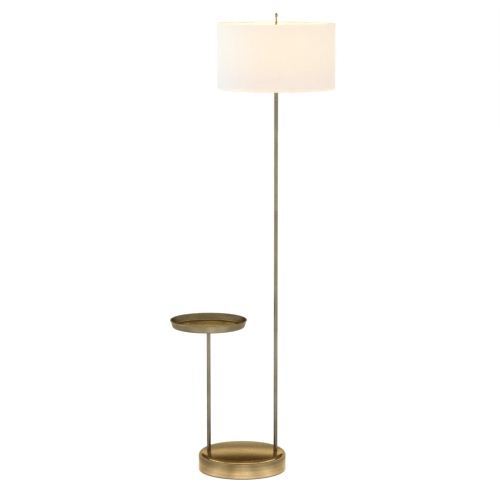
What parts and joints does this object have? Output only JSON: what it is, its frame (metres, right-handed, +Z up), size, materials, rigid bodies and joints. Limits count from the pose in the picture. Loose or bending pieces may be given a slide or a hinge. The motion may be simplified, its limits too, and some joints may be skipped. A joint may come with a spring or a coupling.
{
  "type": "floor lamp with tray table",
  "caption": "Floor lamp with a drum shade on a slim pole and a small round tray table on a shorter pole, both on one thick round base.",
  "frame": {"origin": "centre of the base on the floor", "axes": "+Z up along the poles, +X from the tray towards the lamp, the front faces -Y"},
  "size_m": [0.5756, 0.407, 1.6082],
  "materials": {
    "aged_brass": "satin aged brass",
    "aged_brass_tube": "satin aged brass",
    "brass_fittings": "satin",
    "contact_brass": "bright",
    "zinc_steel": "zinc plated",
    "bright_aluminium": "bright",
    "grey_iron": "rough casting",
    "felt": "needle felt",
    "black_plastic": "satin moulded",
    "insulating_board": "matte",
    "frosted_globe": "frosted",
    "shade_linen": "fine plain weave",
    "shade_liner": "satin",
    "shade_wire": "white enamel"
  },
  "bodies": {
    "stand": {"base_pad": "felt", "base_cover": "zinc_steel", "cover_screws": "zinc_steel", "base_weight": "grey_iron", "base_shell": "aged_brass", "inlet_bushing": "black_plastic", "anchor_washers": "zinc_steel", "anchor_nuts": "zinc_steel", "lamp_nipple": "zinc_steel", "table_stud": "zinc_steel", "lamp_pole_lower": "aged_brass_tube", "lamp_pole_middle": "aged_brass_tube", "lamp_pole_upper": "aged_brass_tube", "pole_joiners": "zinc_steel", "table_pole": "aged_brass_tube", "tray_flange": "aged_brass", "tray": "aged_brass", "tray_nuts": "brass_fittings", "pole_cap": "aged_brass_tube", "top_nipple": "zinc_steel", "harp_saddle": "brass_fittings", "harp": "brass_fittings", "harp_seat": "brass_fittings", "holder_cap": "brass_fittings", "holder_shell": "brass_fittings", "holder_insulator": "insulating_board", "holder_core": "black_plastic", "screw_shell": "bright_aluminium", "centre_contact": "contact_brass"},
    "switch": {"switch_shaft": "black_plastic", "switch_key": "black_plastic"},
    "bulb": {"bulb_cap": "bright_aluminium", "bulb_globe": "frosted_globe"},
    "shade": {"shade_cloth": "shade_linen", "shade_liner": "shade_liner", "shade_tapes": "shade_linen", "shade_washer": "shade_wire", "shade_spider": "shade_wire", "shade_bottom_ring": "shade_wire"},
    "finial": {"finial": "brass_fittings"},
    "ferrule_left": {"ferrule_left": "brass_fittings"},
    "ferrule_right": {"ferrule_right": "brass_fittings"}
  },
  "joints": [
    {"name": "key_turn", "type": "hinge", "parent": "stand", "child": "switch", "pos_m": [0.118, 0, 1.39], "axis": [0, -1, 0], "continuous": true},
    {"name": "bulb_turn", "type": "hinge", "parent": "stand", "child": "bulb", "pos_m": [0.118, 0, 1.411], "axis": [0, 0, 1], "continuous": true},
    {"name": "shade_turn", "type": "hinge", "parent": "stand", "child": "shade", "pos_m": [0.118, 0, 1.56], "axis": [0, 0, 1], "continuous": true},
    {"name": "finial_turn", "type": "hinge", "parent": "stand", "child": "finial", "pos_m": [0.118, 0, 1.567], "axis": [0, 0, 1], "continuous": true},
    {"name": "ferrule_left_slide", "type": "slide", "parent": "stand", "child": "ferrule_left", "axis": [0, 0, 1], "range_m": [0, 0.012]},
    {"name": "ferrule_right_slide", "type": "slide", "parent": "stand", "child": "ferrule_right", "axis": [0, 0, 1], "range_m": [0, 0.012]}
  ]
}
